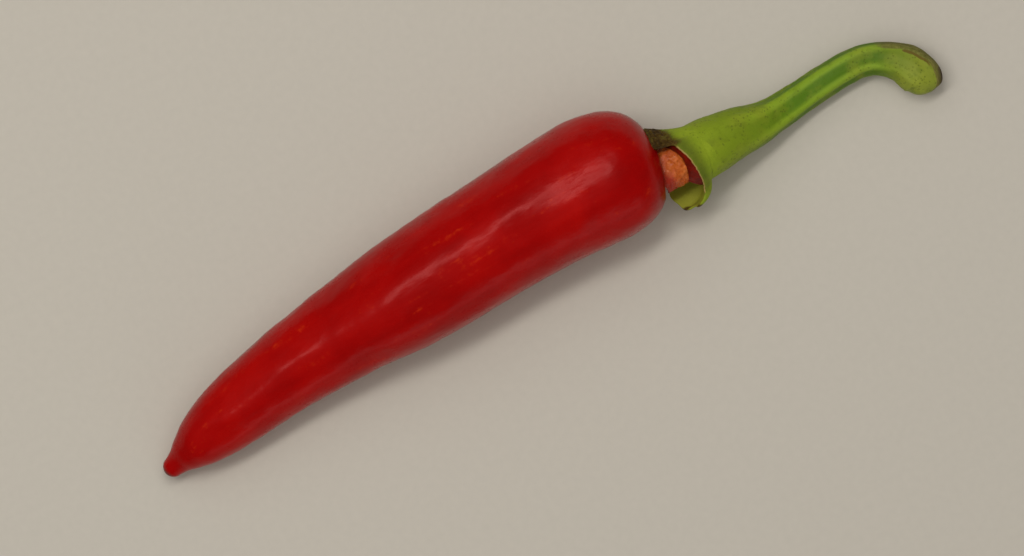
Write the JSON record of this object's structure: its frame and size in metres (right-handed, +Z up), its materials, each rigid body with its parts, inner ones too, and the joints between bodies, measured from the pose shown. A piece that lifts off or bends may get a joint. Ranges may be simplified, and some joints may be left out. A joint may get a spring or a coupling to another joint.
{
  "type": "fresh red chilli pepper with stem",
  "caption": "Long curved red chilli pepper lying on its side, its green calyx half torn from the pod and its ribbed stem hooked at the cut end.",
  "frame": {"origin": "on the surface that the pepper lies on, under the middle of its box", "axes": "+X along the pepper from the tip of the pod to the cut end of the stem, +Z up from the surface"},
  "size_m": [0.1343, 0.0219, 0.0197],
  "materials": {
    "pod_skin": "smooth, waxy and glossy deep red skin",
    "torn_flesh": "moist granular orange flesh",
    "torn_skin": "thin torn dark red skin",
    "calyx": "ribbed yellow-green, tan at its torn rim",
    "stem": "satin green with lengthwise ribs, brown at the cut end"
  },
  "bodies": {
    "root": {"pod": "pod_skin", "torn_flesh": "torn_flesh", "torn_skin": "torn_skin", "calyx": "calyx", "stem": "stem"}
  },
  "joints": []
}
